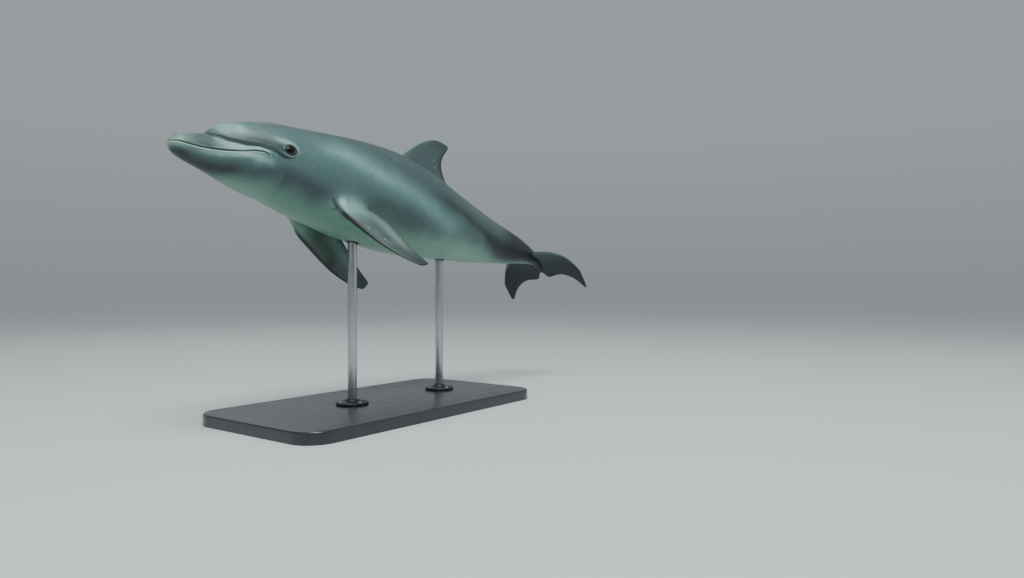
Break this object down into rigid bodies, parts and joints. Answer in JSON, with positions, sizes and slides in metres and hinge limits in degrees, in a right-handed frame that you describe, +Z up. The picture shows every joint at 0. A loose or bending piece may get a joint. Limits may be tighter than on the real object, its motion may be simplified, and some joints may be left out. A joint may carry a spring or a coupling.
{
  "type": "bottlenose dolphin",
  "caption": "Life-size still model of a young bottlenose dolphin swimming head up with its tail bent down, held by short rods over a flat rounded base.",
  "frame": {"origin": "centre of the base's flat underside", "axes": "+X towards the tail, +Y the animal's right side, +Z up; the head points to -X"},
  "size_m": [1.1004, 0.4119, 0.5918],
  "materials": {
    "skin": "smooth satin skin, grey above and pale below",
    "eye": "moist dark eye",
    "stand_black": "satin black lacquer",
    "stand_flange": "satin black powder coat",
    "stand_steel": "brushed along its length"
  },
  "bodies": {
    "root": {"upper_beak": "skin", "lower_jaw": "skin", "head": "skin", "blowhole_plug": "skin", "eye_left": "eye", "eye_right": "eye", "neck": "skin", "chest": "skin", "abdomen": "skin", "tail_stock_front": "skin", "tail_stock_rear": "skin", "dorsal_fin": "skin", "flipper_left": "skin", "flipper_right": "skin", "fluke_left": "skin", "fluke_right": "skin", "stand_base": "stand_black", "stand_flange_front": "stand_flange", "stand_flange_rear": "stand_flange", "stand_rod_front": "stand_steel", "stand_rod_rear": "stand_steel"}
  },
  "joints": []
}
